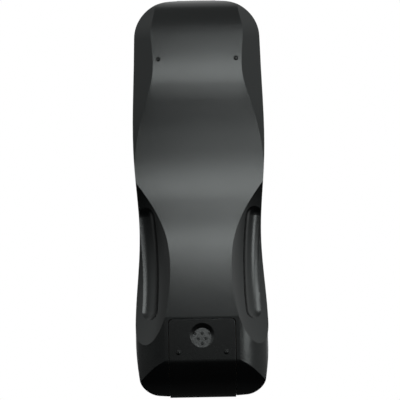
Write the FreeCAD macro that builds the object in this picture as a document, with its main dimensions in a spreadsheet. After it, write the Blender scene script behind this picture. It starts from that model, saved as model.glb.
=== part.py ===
import FreeCAD, Part
import math
import os
import Sketcher
from FreeCAD import Placement, Rotation, Vector

# Infrared remote control, lying on its back on four pips with its keys up.
# X runs across it, +Y points to the infrared end, and Z = 0 is the surface that it lies on.

doc = FreeCAD.newDocument("remote_control")
sheet = doc.addObject("Spreadsheet::Sheet", "sizes")

SIZES = [
    # the plan outline of both shells
    ("overall_length", 199.0),
    ("shell_end_gap", 0.25),
    ("top_half_width", 31.6),
    ("upper_half_width", 32.5),
    ("waist_half_width", 30.3),
    ("lower_half_width", 32.8),
    ("bottom_half_width", 31.4),
    ("top_corner", 18.2),
    ("bottom_corner", 8.5),
    ("top_arch", 0.55),
    ("bottom_arch", 1.0),
    ("top_draw_in", 0.45),
    # heights of the stack, from the surface up
    ("pip_height", 0.8),
    ("hump_depth", 19.8),
    ("front_depth", 7.0),
    ("shell_wall", 1.8),
    ("face_edge", 2.6),
    ("seam_gap", 0.3),
    ("lip_gap", 0.05),
    # the profile of the back, as depths below the parting plane
    ("top_end_depth", 6.0),
    ("valley_depth", 13.75),
    ("tail_tilt", 2.6),
    ("crest_blend", 6.0),
    ("crest_angle", 22.0),
    ("end_angle", 65.0),
    # the sloping flanks of the back
    ("knee_depth", 13.8),
    ("top_flat_half", 22.0),
    ("shoulder_flat_half", 17.5),
    ("shoulder_radius", 20.0),
    ("shoulder_edge_radius", 5.0),
    ("shoulder_turn", 45.0),
    # the side scoops and their finger grooves
    ("scoop_radius", 132.0),
    ("scoop_dish_radius", 40.0),
    ("scoop_slope", 36.3),
    ("scoop_offset", 23.0),
    ("scoop_depth", 11.9),
    ("groove_offset", 24.6),
    ("groove_radius", 6.5),
    ("groove_top_depth", 2.0),
    ("groove_middle_depth", 1.8),
    ("groove_bottom_depth", 1.7),
    ("groove_toe_in", 0.6),
    # rest pips
    ("pip_radius", 1.1),
    ("upper_pip_offset", 19.2),
    ("door_pip_offset", 11.9),
    # the battery door
    ("door_half_width", 16.5),
    ("door_corner", 2.2),
    ("door_wall", 1.6),
    ("thumb_radius", 6.0),
    ("thumb_depth", 1.46),
    ("thumb_lower_depth", 0.02),
    ("thumb_wall_slope", 25.0),
    ("thumb_bump_radius", 0.55),
    ("thumb_bump_pitch", 3.65),
    ("thumb_row_pitch", 2.5),
    ("thumb_bump_shift", 0.8),
    ("thumb_bump_height", 0.25),
    ("thumb_pit_radius", 1.0),
    ("thumb_pit_depth", 0.3),
    ("rail_length", 16.0),
    ("rail_web", 1.2),
    ("rail_hook", 0.9),
    ("rail_flange_lift", 2.0),
    ("rail_flange", 0.9),
    ("rail_clearance", 0.4),
    ("latch_half_width", 5.0),
    ("latch_reach", 2.4),
    ("latch_root", 3.0),
    ("latch_thickness", 0.9),
    ("door_rib", 0.5),
    ("door_rib_thickness", 1.2),
    ("door_rib_half_width", 10.0),
    # the cells and their bay
    ("cell_diameter", 14.5),
    ("cell_length", 49.2),
    ("cell_nub_diameter", 5.5),
    ("cell_nub_length", 1.3),
    ("cell_edge", 0.7),
    ("cell_gap", 0.5),
    ("cell_clearance", 0.4),
    ("cell_lift", 1.1),
    ("bay_wall", 2.0),
    ("bay_ceiling_wall", 1.0),
    ("contact_thickness", 0.4),
    ("contact_knob_radius", 2.0),
    ("spring_wire", 0.6),
    ("spring_turns", 2.5),
    ("spring_radius", 3.2),
    ("spring_length", 3.4),
    ("spring_end_gap", 0.05),
    ("contact_width", 9.0),
    ("contact_height", 9.0),
    ("contact_leg", 3.0),
    ("contact_slot_gap", 0.3),
    # keys
    ("key_proud", 1.3),
    ("key_gap", 0.35),
    ("key_edge", 0.5),
    ("flange_width", 0.8),
    ("flange_thickness", 0.8),
    ("flange_clearance", 0.2),
    ("key_corner", 2.4),
    ("key_flange_corner", 2.6),
    ("digit_width", 12.0),
    ("digit_length", 6.6),
    ("digit_pitch_across", 16.5),
    ("round_diameter", 9.0),
    ("power_offset", 18.5),
    ("menu_offset", 19.0),
    ("pad_reach_across", 15.0),
    ("ok_diameter", 12.0),
    ("arrow_width", 11.0),
    ("arrow_length", 7.0),
    ("play_pitch_across", 17.5),
    ("play_length", 7.4),
    ("option_pitch", 13.2),
    ("option_width", 9.0),
    ("option_length", 5.4),
    # silicone sheet and circuit board
    ("sheet_thickness", 1.0),
    ("dome_base", 3.0),
    ("dome_tip", 2.2),
    ("board_thickness", 1.6),
    ("board_half_width", 26.5),
    ("board_corner", 8.0),
    ("board_hole_gap", 0.6),
    ("sheet_margin", 1.5),
    ("sheet_hole_gap", 0.8),
    ("post_diameter", 5.0),
    ("post_offset", 23.0),
    ("screw_diameter", 2.0),
    ("screw_head_diameter", 3.8),
    ("screw_head_height", 1.3),
    ("screw_length", 4.6),
    ("screw_tip_gap", 0.3),
    ("screw_thread_gap", 0.02),
    ("screw_slot_length", 2.2),
    ("screw_slot_width", 0.5),
    # infrared end
    ("window_half_width", 9.5),
    ("window_low", -4.0),
    ("window_high", 4.0),
    ("window_thickness", 3.4),
    ("window_flange", 0.8),
    ("window_lip", 1.0),
    ("led_radius", 2.5),
    ("led_length", 8.6),
    ("led_rim", 0.4),
    ("led_rim_thickness", 1.0),
    ("led_gap", 0.4),
    ("led_lead", 0.5),
    ("led_lead_offset", 1.27),
    ("led_lead_reach", 1.0),
    # parts on the board
    ("chip_width", 10.2),
    ("chip_length", 18.0),
    ("chip_height", 2.4),
    ("chip_case_width", 7.4),
    ("chip_standoff", 0.15),
    ("chip_pin_pitch", 1.27),
    ("chip_pin_width", 0.4),
    ("chip_pin_thickness", 0.3),
    ("chip_foot", 0.5),
    ("resonator_offset", 6.0),
    ("resonator_width", 8.0),
    ("resonator_length", 3.4),
    ("resonator_height", 3.2),
    ("transistor_offset", -6.0),
    ("transistor_width", 4.4),
    ("transistor_length", 3.6),
    ("transistor_height", 2.6),
    ("part_edge", 0.3),
    ("capacitor_offset", 9.0),
    ("capacitor_diameter", 6.3),
    ("capacitor_length", 7.0),
    ("capacitor_edge", 0.5),
    ("capacitor_lead_pitch", 2.5),
    ("capacitor_lead_reach", 2.0),
    ("lead_width", 0.6),
    ("small_part_width", 1.25),
    ("small_part_length", 2.0),
    ("resistor_height", 0.5),
    ("resistor_pitch", 4.0),
    ("resistor_row_gap", 6.0),
    ("ceramic_height", 0.9),
    ("ceramic_offset", 9.0),
    ("ceramic_pitch", 6.0),
]

# Places along Y, each kept at its distance from one end: 1 is the infrared end and -1 the other
STATIONS = [
    ("station_top_side", 1, 33.5),
    ("station_upper_side", 1, 77.5),
    ("station_waist", -1, 81.5),
    ("station_lower_side", -1, 44.5),
    ("station_top_hump", 1, 34.5),
    ("station_valley", 1, 87.5),
    ("station_lower_hump", -1, 41.5),
    ("station_crest", -1, 20.2),
    ("station_split", -1, 74.5),
    ("scoop_station", -1, 68.3),
    ("groove_top", -1, 96.7),
    ("groove_bottom", -1, 38.6),
    ("upper_pip_station", 1, 30.0),
    ("door_pip_station", -1, 23.8),
    ("door_top", -1, 40.25),
    ("thumb_station", -1, 32.3),
    ("rail_top", -1, 35.5),
    ("bay_top", -1, 72.9),
    ("board_top", 1, 12.9),
    ("board_bottom", -1, 10.5),
    ("post_top", 1, 24.5),
    ("post_bottom", -1, 20.5),
    ("chip_station", 1, 77.5),
    ("resonator_station", 1, 59.5),
    ("transistor_station", 1, 37.5),
    ("capacitor_station", -1, 81.5),
]

# Rows of keys and their pitches along Y, as shares of the overall length
KEY_ROWS = [
    ("power_station", 0.412),
    ("digit_top", 0.3317),
    ("digit_pitch_along", 0.0553),
    ("menu_station", 0.0955),
    ("pad_station", 0.0025),
    ("pad_reach_along", 0.0678),
    ("setup_station", -0.088),
    ("play_station", -0.1608),
    ("play_pitch_along", 0.0603),
    ("option_station", -0.3492),
]

for line, (alias, value) in enumerate(SIZES, start=1):
    sheet.set("A%d" % line, alias)
    sheet.set("B%d" % line, str(value))
    sheet.setAlias("B%d" % line, alias)
for line, (alias, end, distance) in enumerate(STATIONS, start=len(SIZES) + 1):
    sheet.set("A%d" % line, alias)
    sheet.set("B%d" % line, str(distance))
    sheet.set("C%d" % line, "=%d * (overall_length / 2 - B%d)" % (end, line))
    sheet.setAlias("C%d" % line, alias)
for line, (alias, share) in enumerate(KEY_ROWS, start=len(SIZES) + len(STATIONS) + 1):
    sheet.set("A%d" % line, alias)
    sheet.set("B%d" % line, str(share))
    sheet.set("C%d" % line, "=overall_length * B%d" % line)
    sheet.setAlias("C%d" % line, alias)
doc.recompute()


def size(alias):
    return float(sheet.get(alias))


# Places that follow from the sizes
PARTING = size("pip_height") + size("hump_depth")
FACE = PARTING + size("front_depth")
INNER_FACE = FACE - size("shell_wall")
END = size("overall_length") / 2
SHELL_END = END - size("shell_end_gap")
BOARD_TOP = PARTING + size("board_thickness")
DOOR_INSIDE = size("pip_height") + size("door_wall")
CELL_RADIUS = size("cell_diameter") / 2
CELL_LEVEL = DOOR_INSIDE + size("cell_clearance") + size("cell_lift") + CELL_RADIUS
CELL_OFFSET = CELL_RADIUS + size("cell_gap") / 2
BAY_HALF = 2 * CELL_RADIUS + size("cell_gap") / 2 + size("cell_clearance")
BAY_CEILING = CELL_LEVEL + CELL_RADIUS + size("cell_clearance")
NUB_TIP = size("bay_top") - size("contact_thickness")
CELL_TOP = NUB_TIP - size("cell_nub_length")
CELL_BOTTOM = CELL_TOP - size("cell_length")
BAY_BOTTOM = CELL_BOTTOM - size("spring_length") - size("contact_thickness")
TURNED_TOP = NUB_TIP - size("spring_length")
TURNED_NUB = TURNED_TOP - size("cell_length") - size("cell_nub_length")

# Expressions of places that several bodies share
PARTING_TEXT = "sizes.pip_height + sizes.hump_depth"
KEY_LEVEL = (PARTING_TEXT + " + sizes.front_depth - sizes.shell_wall - sizes.flange_clearance"
             " - sizes.flange_thickness")
DOME_HEIGHT = ("sizes.front_depth - sizes.shell_wall - 2 * sizes.flange_clearance - sizes.flange_thickness"
               " - sizes.board_thickness - sizes.sheet_thickness")
CELL_PLACE = "(sizes.cell_diameter + sizes.cell_gap) / 2"
CELL_HEIGHT = ("sizes.pip_height + sizes.door_wall + sizes.cell_clearance + sizes.cell_lift"
               " + sizes.cell_diameter / 2")
NUB_TEXT = "sizes.bay_top - sizes.contact_thickness"

# Cutting tools run BEYOND what they cut, and fused parts reach ROOT into what carries them
BEYOND = 5.0
ROOT = 0.5
SPAN = 2 * size("lower_half_width")

# How far a corner runs along its end, as a share of its run along the side, and how full it is
TOP_CORNER_RUN = 1.0
BOTTOM_CORNER_RUN = 1.28
TOP_FULLNESS = 1.13
BOTTOM_FULLNESS = 1.0

# Shape of the back: how far from the end, or what share of the run, and what share of the depth
END_SHAPE = [(0, 0), (1.2, 0.36), (3.5, 0.62), (7.5, 0.81), (13.5, 0.91), (21.5, 0.955)]
FALL_SHAPE = [(0, 1), (0.094, 0.962), (0.245, 0.774), (0.396, 0.539), (0.566, 0.312), (0.755, 0.126),
              (0.887, 0.03)]
CLIMB_SHAPE = [(0, 0), (0.115, 0.066), (0.242, 0.319), (0.385, 0.66), (0.457, 0.793), (0.528, 0.871),
               (0.67, 0.945), (0.83, 0.985), (1, 1)]

# The shoulders' prism lies this much lower than the tail, so that the two don't share a plane
SHOULDER_SINK = 0.03

# The flanks' taper runs on to this multiple of their depth
FLANK_OVERRUN = 1.4

# Share of the shell's wall that is left behind a scoop or a finger groove
SCOOP_WALL = 0.55
GROOVE_WALL = 0.8

# A pip's ball is centred this share of its radius above the surface, which leaves a small flat tip
PIP_CENTRE = 0.86


# Small helpers: each makes one kind of shape or feature

def feature(label, shape):
    """A computed solid that stands as a node of its own."""
    node = doc.addObject("Part::Feature", label)
    node.Label = label
    node.Shape = shape
    node.Placement = Placement()
    return node


def block(low_x, high_x, low_y, high_y, low_z, high_z):
    return Part.makeBox(high_x - low_x, high_y - low_y, high_z - low_z, Vector(low_x, low_y, low_z))


def side_block(side, near, far, low_y, high_y, low_z, high_z):
    """Block on one side of X = 0, from near to far off it."""
    low_x, high_x = sorted((side * near, side * far))
    return block(low_x, high_x, low_y, high_y, low_z, high_z)


def post(x, y, low_z, high_z, radius):
    return Part.makeCylinder(radius, high_z - low_z, Vector(x, y, low_z))


def origin_plane(body, role):
    return next(item for item in body.Origin.OriginFeatures if item.Role == role)


def new_body(label):
    body = doc.addObject("PartDesign::Body", label)
    body.Label = label
    return body


def new_sketch(body, name, role, level="0"):
    sketch = body.newObject("Sketcher::SketchObject", name)
    sketch.AttachmentSupport = [(origin_plane(body, role), "")]
    sketch.MapMode = "FlatFace"
    sketch.setExpression("AttachmentOffset.Base.z", level)
    return sketch


def evaluated(sketch, text):
    value = sketch.evalExpression(text)
    return float(value.Value) if hasattr(value, "Value") else float(value)


def draw_polygon(sketch, corners):
    """Closed outline whose corners are pairs of expressions."""
    points = [Vector(evaluated(sketch, across), evaluated(sketch, along), 0) for across, along in corners]
    first = len(sketch.Geometry)
    count = len(points)
    for number in range(count):
        sketch.addGeometry(Part.LineSegment(points[number], points[(number + 1) % count]), False)
    for number in range(count):
        after = (number + 1) % count
        sketch.addConstraint(Sketcher.Constraint("Coincident", first + number, 2, first + after, 1))
    for number, (across, along) in enumerate(corners):
        point = points[number]
        for kind, text, value in (("DistanceX", across, point.x), ("DistanceY", along, point.y)):
            constraint = sketch.addConstraint(Sketcher.Constraint(kind, -1, 1, first + number, 1, value))
            sketch.setExpression("Constraints[%d]" % constraint, text)


def draw_rectangle(sketch, half_width, half_length):
    corners = [
        ("-(%s)" % half_width, "-(%s)" % half_length),
        (half_width, "-(%s)" % half_length),
        (half_width, half_length),
        ("-(%s)" % half_width, half_length),
    ]
    draw_polygon(sketch, corners)


def draw_circle(sketch, diameter, across="0", along="0"):
    centre = Vector(evaluated(sketch, across), evaluated(sketch, along), 0)
    value = evaluated(sketch, diameter)
    circle = sketch.addGeometry(Part.Circle(centre, Vector(0, 0, 1), value / 2), False)
    for kind, text, number in (("DistanceX", across, centre.x), ("DistanceY", along, centre.y)):
        constraint = sketch.addConstraint(Sketcher.Constraint(kind, -1, 1, circle, 3, number))
        sketch.setExpression("Constraints[%d]" % constraint, text)
    constraint = sketch.addConstraint(Sketcher.Constraint("Diameter", circle, value))
    sketch.setExpression("Constraints[%d]" % constraint, diameter)


def add_pad(body, name, sketch, length):
    pad = body.newObject("PartDesign::Pad", name)
    pad.Profile = sketch
    pad.setExpression("Length", length)
    doc.recompute()
    return pad


def add_pocket(body, name, sketch, length):
    before = body.Shape.Volume
    pocket = body.newObject("PartDesign::Pocket", name)
    pocket.Profile = sketch
    pocket.setExpression("Length", length)
    pocket.Reversed = True
    doc.recompute()
    if body.Shape.Volume >= before:
        raise ValueError(name + " cuts nothing")
    return pocket


def upright_edges(shape):
    names = []
    for number, edge in enumerate(shape.Edges, start=1):
        direction = edge.tangentAt(edge.FirstParameter)
        if abs(direction.z) > 0.999 and len(edge.Vertexes) == 2 and edge.Curve.TypeId == "Part::GeomLine":
            names.append("Edge%d" % number)
    return names


def edges_at_height(shape, height):
    names = []
    for number, edge in enumerate(shape.Edges, start=1):
        box = edge.BoundBox
        if abs(box.ZMin - height) < 1e-4 and abs(box.ZMax - height) < 1e-4:
            names.append("Edge%d" % number)
    return names


def add_fillet(body, name, base, edges, radius):
    fillet = body.newObject("PartDesign::Fillet", name)
    fillet.Base = (base, edges)
    fillet.setExpression("Radius", radius)
    doc.recompute()
    return fillet


def place(body, x, y, z):
    """Binds the place of a body to three expressions."""
    for axis, text in (("x", x), ("y", y), ("z", z)):
        body.setExpression("Placement.Base.%s" % axis, text)


# Plan outline of the shells: an arched top, an arched bottom, rounded corners and waisted sides

def side_points(inset, top_half, bottom_half):
    """Right-hand side of the outline, from the top corner to the bottom corner."""
    waist_step = size("waist_half_width") - (size("top_half_width") + size("lower_half_width")) / 2
    points = [
        Vector(top_half - size("top_draw_in"), SHELL_END - size("top_corner") - size("top_arch"), 0),
        Vector(top_half, size("station_top_side"), 0),
        Vector(top_half + size("upper_half_width") - size("top_half_width"), size("station_upper_side"), 0),
        Vector((top_half + bottom_half) / 2 + waist_step, size("station_waist"), 0),
        Vector(bottom_half, size("station_lower_side"), 0),
        Vector(bottom_half + size("bottom_half_width") - size("lower_half_width"),
               -SHELL_END + size("bottom_corner") + size("bottom_arch"), 0),
    ]
    return [point - Vector(inset, 0, 0) for point in points]


def corner_arc(start, direction, end):
    """Arc that leaves start along direction and reaches end."""
    curve = Part.BSplineCurve()
    curve.interpolate(Points=[start, end], Parameters=[0.0, 1.0], InitialTangent=direction[0],
                      FinalTangent=direction[1], Scale=False)
    return curve


def outline_wire(level, inset, top_half, bottom_half):
    """The closed outline at one height, inset evenly, with given half-widths near its two ends."""
    side = side_points(inset, top_half, bottom_half)
    top_end = SHELL_END - inset
    bottom_end = -SHELL_END + inset
    top_reach = top_half - inset - size("top_corner") * TOP_CORNER_RUN
    bottom_reach = bottom_half - inset - size("bottom_corner") * BOTTOM_CORNER_RUN
    top_start = Vector(top_reach, top_end - size("top_arch"), 0)
    bottom_start = Vector(bottom_reach, bottom_end + size("bottom_arch"), 0)
    right = Part.BSplineCurve()
    right.interpolate(Points=side)
    first = right.tangent(right.FirstParameter)[0]
    last = right.tangent(right.LastParameter)[0]
    top_arc = Part.Arc(Vector(-top_start.x, top_start.y, 0), Vector(0, top_end, 0), top_start)
    bottom_arc = Part.Arc(bottom_start, Vector(0, bottom_end, 0), Vector(-bottom_start.x, bottom_start.y, 0))
    leave_top = top_arc.tangent(top_arc.LastParameter)[0]
    enter_bottom = bottom_arc.tangent(bottom_arc.FirstParameter)[0]
    top_scale = top_start.distanceToPoint(side[0]) * TOP_FULLNESS
    bottom_scale = bottom_start.distanceToPoint(side[-1]) * BOTTOM_FULLNESS
    top_corner = corner_arc(top_start, (leave_top * top_scale, first * top_scale), side[0])
    bottom_corner = corner_arc(side[-1], (last * bottom_scale, enter_bottom * bottom_scale), bottom_start)
    right_edges = [top_corner.toShape(), right.toShape(), bottom_corner.toShape()]
    left_edges = [edge.mirror(Vector(0, 0, 0), Vector(1, 0, 0)) for edge in right_edges]
    edges = [top_arc.toShape()] + right_edges + [bottom_arc.toShape()] + left_edges
    wire = Part.Wire(Part.__sortEdges__(edges))
    wire.translate(Vector(0, 0, level))
    return wire


def plan_wire(level, inset):
    return outline_wire(level, inset, size("top_half_width"), size("lower_half_width"))


def plan_prism(low, high, inset):
    return Part.Face(plan_wire(low, inset)).extrude(Vector(0, 0, high - low))


# Side profile of the back: top hump, valley, ramp, lower hump, straight tail and the sweep up to the end

def back_points():
    """Points of the back from the infrared end to the lower hump, as Y and depth below the parting plane."""
    hump = size("hump_depth")
    valley = size("valley_depth")
    end_depth = size("top_end_depth")
    top_hump = size("station_top_hump")
    low = size("station_valley")
    lower_hump = size("station_lower_hump")
    rise = hump - valley
    run = top_hump - low
    climb = low - lower_hump
    points = [(END - along, end_depth + share * (hump - end_depth)) for along, share in END_SHAPE]
    points += [(top_hump - along * run, valley + share * rise) for along, share in FALL_SHAPE]
    points += [(low - along * climb, valley + share * rise) for along, share in CLIMB_SHAPE]
    return points


def tail_level(y):
    """Height of the back at a station on its straight tail, which rises from the lower hump to the crest."""
    return size("pip_height") + (size("station_lower_hump") - y) * math.tan(math.radians(size("tail_tilt")))


def back_edges(offset):
    """Edges of the side profile, moved inwards by offset, in the plane X = 0."""
    outer = Part.BSplineCurve()
    points = [Vector(0, y, PARTING - depth) for y, depth in back_points()]
    outer.interpolate(Points=points)
    steps = 40
    span = outer.LastParameter - outer.FirstParameter
    moved = []
    for step in range(steps + 1):
        parameter = outer.FirstParameter + span * step / steps
        along = outer.tangent(parameter)[0]
        moved.append(outer.value(parameter) + Vector(0, along.z, -along.y) * offset)
    upper = Part.BSplineCurve()
    upper.interpolate(Points=moved)
    tilt = math.radians(size("tail_tilt"))
    blend_radius = size("crest_blend")
    start_angle = math.radians(size("crest_angle"))
    end_angle = math.radians(size("end_angle"))
    inwards = Vector(0, math.sin(tilt), math.cos(tilt))
    crest = Vector(0, size("station_crest"), tail_level(size("station_crest")))
    tail = Part.LineSegment(moved[-1], crest + inwards * offset)
    blend_centre = crest + inwards * blend_radius
    blend = arc_about(blend_centre, blend_radius - offset, tilt, start_angle)
    knee = blend_centre + Vector(0, -math.sin(start_angle), -math.cos(start_angle)) * blend_radius
    sweep_radius = (END + knee.y) / (math.sin(end_angle) - math.sin(start_angle))
    sweep_centre = knee + Vector(0, math.sin(start_angle), math.cos(start_angle)) * sweep_radius
    sweep = arc_about(sweep_centre, sweep_radius - offset, start_angle, end_angle)
    return [upper.toShape(), tail.toShape(), blend.toShape(), sweep.toShape()]


def arc_about(centre, radius, start, end):
    """Arc below a centre, its angles counted from straight down towards the bottom end."""
    at = [centre + Vector(0, -math.sin(angle), -math.cos(angle)) * radius
          for angle in (start, (start + end) / 2, end)]
    return Part.Arc(at[0], at[1], at[2])


def above_back(offset, high):
    """Everything above the back profile moved inwards by offset, up to the height given."""
    edges = back_edges(offset)
    first = edges[0].Vertexes[0].Point
    last = edges[-1].Vertexes[-1].Point
    low_end = Vector(0, last.y, high)
    high_end = Vector(0, first.y, high)
    edges.append(Part.LineSegment(last, low_end).toShape())
    edges.append(Part.LineSegment(low_end, high_end).toShape())
    edges.append(Part.LineSegment(high_end, first).toShape())
    face = Part.Face(Part.Wire(edges))
    face.translate(Vector(-SPAN, 0, 0))
    return face.extrude(Vector(2 * SPAN, 0, 0))


def upper_flanks(inset):
    """Space between the flat flanks of the infrared end, which lean in below the knee."""
    knee = PARTING - size("knee_depth")
    drop = size("hump_depth") - size("knee_depth")
    lean = (size("top_half_width") - size("top_flat_half")) * FLANK_OVERRUN
    high = plan_wire(knee, inset)
    low = outline_wire(knee - drop * FLANK_OVERRUN, inset, size("top_half_width") - lean,
                       size("lower_half_width") - lean)
    taper = Part.makeLoft([high, low], True, True)
    space = plan_prism(knee, PARTING, inset).fuse(taper)
    return space.common(block(-SPAN, SPAN, size("station_split"), END + BEYOND, -PARTING, PARTING))


def shoulder_side(side, inset):
    """Half of the lower section: its flat, two arcs and the upright side, which ends above the seam."""
    turn = math.radians(size("shoulder_turn"))
    wide = size("shoulder_radius")
    tight = size("shoulder_edge_radius")
    first = Vector(size("shoulder_flat_half"), 0, size("pip_height") - SHOULDER_SINK + wide)
    second = first + Vector(math.sin(turn), 0, -math.cos(turn)) * (wide - tight)
    points = [first + Vector(math.sin(angle), 0, -math.cos(angle)) * (wide - inset)
              for angle in (0, turn / 2, turn)]
    points += [second + Vector(math.sin(angle), 0, -math.cos(angle)) * (tight - inset)
               for angle in ((turn + math.pi / 2) / 2, math.pi / 2)]
    points = [Vector(side * point.x, 0, point.z) for point in points]
    middle = Vector(0, 0, points[0].z)
    top = Vector(points[-1].x, 0, 2 * PARTING)
    return [Part.LineSegment(middle, points[0]), Part.Arc(points[0], points[1], points[2]),
            Part.Arc(points[2], points[3], points[4]), Part.LineSegment(points[4], top)]


def lower_flanks(inset):
    """Space between the rounded shoulders of the other end, which run along the tilted tail."""
    right = shoulder_side(1, inset)
    left = shoulder_side(-1, inset)
    lid = Part.LineSegment(left[-1].EndPoint, right[-1].EndPoint)
    edges = [curve.toShape() for curve in right + [lid] + left]
    face = Part.Face(Part.Wire(Part.__sortEdges__(edges)))
    split = size("station_split")
    start = Vector(0, split, tail_level(split) - size("pip_height"))
    end = Vector(0, -END - BEYOND, tail_level(-END - BEYOND) - size("pip_height"))
    face.translate(start)
    rounded = face.extrude(end - start)
    return rounded.common(plan_prism(-PARTING, PARTING, inset))


def flank_solid(inset):
    """Space between the flanks; the scoops cut away the place where the two kinds of flank meet."""
    return upper_flanks(inset).fuse(lower_flanks(inset))


def side_frame(side):
    """Middle of a scoop's floor, with its direction across the floor and its direction outwards."""
    slope = math.radians(size("scoop_slope"))
    along = Vector(side * math.cos(slope), 0, math.sin(slope))
    outward = Vector(side * math.sin(slope), 0, -math.cos(slope))
    floor = Vector(side * size("scoop_offset"), size("scoop_station"), PARTING - size("scoop_depth"))
    return floor, along, outward


def scoop(side, grow):
    """Large ring that dishes one flank, grown evenly; its joints lie on its far side."""
    floor, along, outward = side_frame(side)
    ring = size("scoop_radius")
    dish = size("scoop_dish_radius")
    tool = Part.makeTorus(ring - dish, dish + grow, Vector(), Vector(0, 0, 1), -180, 180, 360)
    tool.Placement = Placement(floor + outward * ring, Rotation(outward, Vector(), along, "ZXY"))
    return tool


def groove(side, radius):
    """Round-ended finger groove in the floor of its scoop, deepest towards the infrared end."""
    floor, along, outward = side_frame(side)
    reach = (size("groove_offset") - size("scoop_offset")) / math.cos(math.radians(size("scoop_slope")))
    centre = floor + along * reach + outward * size("scoop_radius")
    top = size("groove_top") - size("groove_radius")
    bottom = size("groove_bottom") + size("groove_radius")
    toe_in = size("groove_toe_in")
    axis = []
    for station, depth, shift in ((top, size("groove_top_depth"), toe_in),
                                  ((top + bottom) / 2, size("groove_middle_depth"), 0),
                                  (bottom, size("groove_bottom_depth"), -toe_in)):
        ring = size("scoop_radius") + depth - size("groove_radius")
        angle = math.asin((station - size("scoop_station")) / ring)
        point = centre - outward * ring * math.cos(angle) + Vector(0, 1, 0) * ring * math.sin(angle)
        axis.append(point + along * shift)
    path = Part.Arc(axis[0], axis[1], axis[2])
    start_direction = path.tangent(path.FirstParameter)[0]
    circle = Part.Wire(Part.Circle(axis[0], start_direction, radius).toShape())
    tube = Part.Wire(path.toShape()).makePipeShell([circle], True, False)
    balls = [Part.makeSphere(radius, end, start_direction) for end in (axis[0], axis[2])]
    return tube.fuse(balls)


def pip(x, y):
    """Round-nosed foot with a small flat tip on the resting plane."""
    radius = size("pip_radius")
    middle = radius * PIP_CENTRE
    foot = Part.makeSphere(radius, Vector(x, y, middle)).fuse(post(x, y, middle, middle + radius, radius))
    return foot.common(block(x - radius, x + radius, y - radius, y + radius, 0, 2 * radius))


def rounded_slab(half_width, low_y, high_y, corner, low_z, high_z):
    slab = block(-half_width, half_width, low_y, high_y, low_z, high_z)
    edges = [edge for edge in slab.Edges
             if abs(edge.tangentAt(edge.FirstParameter).z) > 0.999 and edge.Vertexes[0].Y > high_y - 0.01]
    return slab.makeFillet(corner, edges)


# Keys: name, half-width, half-length, corner, and the expressions of the place

def key_table():
    digits = ["digit_1", "digit_2", "digit_3", "digit_4", "digit_5", "digit_6",
              "digit_7", "digit_8", "digit_9", "clear", "digit_0", "enter"]
    playback = ["previous", "play", "next", "rewind", "stop", "forward", "slow", "pause", "step"]
    options = ["subtitle", "audio", "angle", "zoom"]
    keys = []
    keys.append(("power", "round", "-sizes.power_offset", "sizes.power_station"))
    keys.append(("open_close", "round", "sizes.power_offset", "sizes.power_station"))
    for number, name in enumerate(digits):
        x = "%d * sizes.digit_pitch_across" % (number % 3 - 1)
        y = "sizes.digit_top - %d * sizes.digit_pitch_along" % (number // 3)
        keys.append((name, "digit", x, y))
    for name, side in (("title", -1), ("menu", 1)):
        keys.append((name, "round", "%d * sizes.menu_offset" % side, "sizes.menu_station"))
    keys.append(("ok", "ok", "0", "sizes.pad_station"))
    keys.append(("up", "arrow", "0", "sizes.pad_station + sizes.pad_reach_along"))
    keys.append(("down", "arrow", "0", "sizes.pad_station - sizes.pad_reach_along"))
    keys.append(("left", "turned", "-sizes.pad_reach_across", "sizes.pad_station"))
    keys.append(("right", "turned", "sizes.pad_reach_across", "sizes.pad_station"))
    for name, side in (("setup", -1), ("return", 1)):
        keys.append((name, "round", "%d * sizes.menu_offset" % side, "sizes.setup_station"))
    for number, name in enumerate(playback):
        x = "%d * sizes.play_pitch_across" % (number % 3 - 1)
        y = "sizes.play_station - %d * sizes.play_pitch_along" % (number // 3)
        keys.append((name, "play", x, y))
    for number, name in enumerate(options):
        x = "%.1f * sizes.option_pitch" % (number - 1.5)
        keys.append((name, "option", x, "sizes.option_station"))
    return keys


KEY_FORMS = {
    "digit": ("sizes.digit_width", "sizes.digit_length"),
    "arrow": ("sizes.arrow_width", "sizes.arrow_length"),
    "turned": ("sizes.arrow_length", "sizes.arrow_width"),
    "play": ("sizes.digit_width", "sizes.play_length"),
    "option": ("sizes.option_width", "sizes.option_length"),
}
ROUND_FORMS = {"round": "sizes.round_diameter", "ok": "sizes.ok_diameter"}


def key_place(key):
    return evaluated(sheet, key[2]), evaluated(sheet, key[3])


def draw_key(sketch, form, grow):
    """Outline of one kind of key, grown evenly."""
    if form in ROUND_FORMS:
        draw_circle(sketch, "%s + 2 * (%s)" % (ROUND_FORMS[form], grow))
    else:
        width, length = KEY_FORMS[form]
        draw_rectangle(sketch, "%s / 2 + %s" % (width, grow), "%s / 2 + %s" % (length, grow))


def make_key(key):
    """Cap that shows above the face, on a flange that the face holds in."""
    name = key[0]
    form = key[1]
    body = new_body("key_" + name)
    flange_sketch = new_sketch(body, name + "_flange_outline", "XY_Plane")
    draw_key(flange_sketch, form, "sizes.flange_width")
    flange = add_pad(body, name + "_flange", flange_sketch, "sizes.flange_thickness")
    if form not in ROUND_FORMS:
        corners = upright_edges(flange.Shape)
        add_fillet(body, name + "_flange_corners", flange, corners, "sizes.key_flange_corner")
    cap_sketch = new_sketch(body, name + "_cap_outline", "XY_Plane")
    draw_key(cap_sketch, form, "0")
    reach = "sizes.flange_thickness + sizes.flange_clearance + sizes.shell_wall + sizes.key_proud"
    cap = add_pad(body, name + "_cap", cap_sketch, reach)
    if form not in ROUND_FORMS:
        upper = [edge for edge in upright_edges(cap.Shape) if cap_edge(cap.Shape, edge)]
        cap = add_fillet(body, name + "_cap_corners", cap, upper, "sizes.key_corner")
    top = body.Shape.BoundBox.ZMax
    add_fillet(body, name + "_cap_round", cap, edges_at_height(cap.Shape, top), "sizes.key_edge")
    place(body, key[2], key[3], KEY_LEVEL)
    return body


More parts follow.
